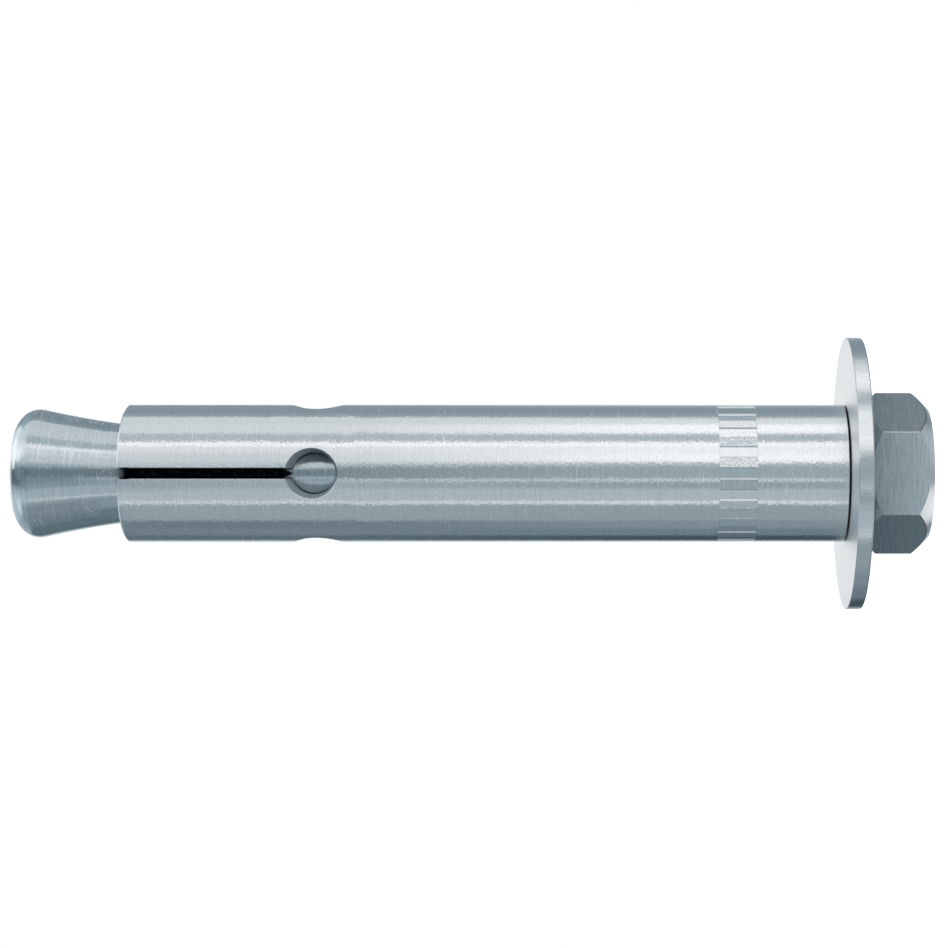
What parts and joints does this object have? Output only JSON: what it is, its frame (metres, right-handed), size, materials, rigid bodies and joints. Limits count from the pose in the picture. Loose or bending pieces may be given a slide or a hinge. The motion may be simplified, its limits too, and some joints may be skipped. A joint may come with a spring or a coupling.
{
  "type": "undercut anchor",
  "caption": "Undercut anchor for concrete: flared cone bolt in a slotted expansion sleeve with a ribbed setting mark, a large washer and a hex nut.",
  "frame": {"origin": "centre of the hex nut's outer face, on which the anchor stands", "axes": "+Z along the bolt from the nut towards the flared end; -Y is the side of one relief hole and of one flat of the nut"},
  "size_m": [0.0194, 0.0194, 0.0648],
  "materials": {
    "bolt_steel": "turned, zinc plated",
    "sleeve_steel": "turned, zinc plated",
    "washer_steel": "punched, zinc plated",
    "nut_steel": "pressed, zinc plated, darker"
  },
  "bodies": {
    "bolt": {"cone_bolt": "bolt_steel"},
    "sleeve": {"expansion_sleeve": "sleeve_steel"},
    "washer": {"washer": "washer_steel"},
    "nut": {"hex_nut": "nut_steel"}
  },
  "joints": [
    {"name": "sleeve_turn", "type": "hinge", "parent": "bolt", "child": "sleeve", "pos_m": [0, 0, 0.0315], "axis": [0, 0, 1], "continuous": true},
    {"name": "washer_slide", "type": "slide", "parent": "bolt", "child": "washer", "axis": [0, 0, -1], "range_m": [0, 0.0035]},
    {"name": "nut_turn", "type": "hinge", "parent": "washer", "child": "nut", "pos_m": [0, 0, 0.0024], "axis": [0, 0, -1], "range_deg": [0, 1260]}
  ],
  "couplings": [
    {"joint": "nut_turn", "follows": "washer_slide", "rad_per_m": 6283.2}
  ]
}
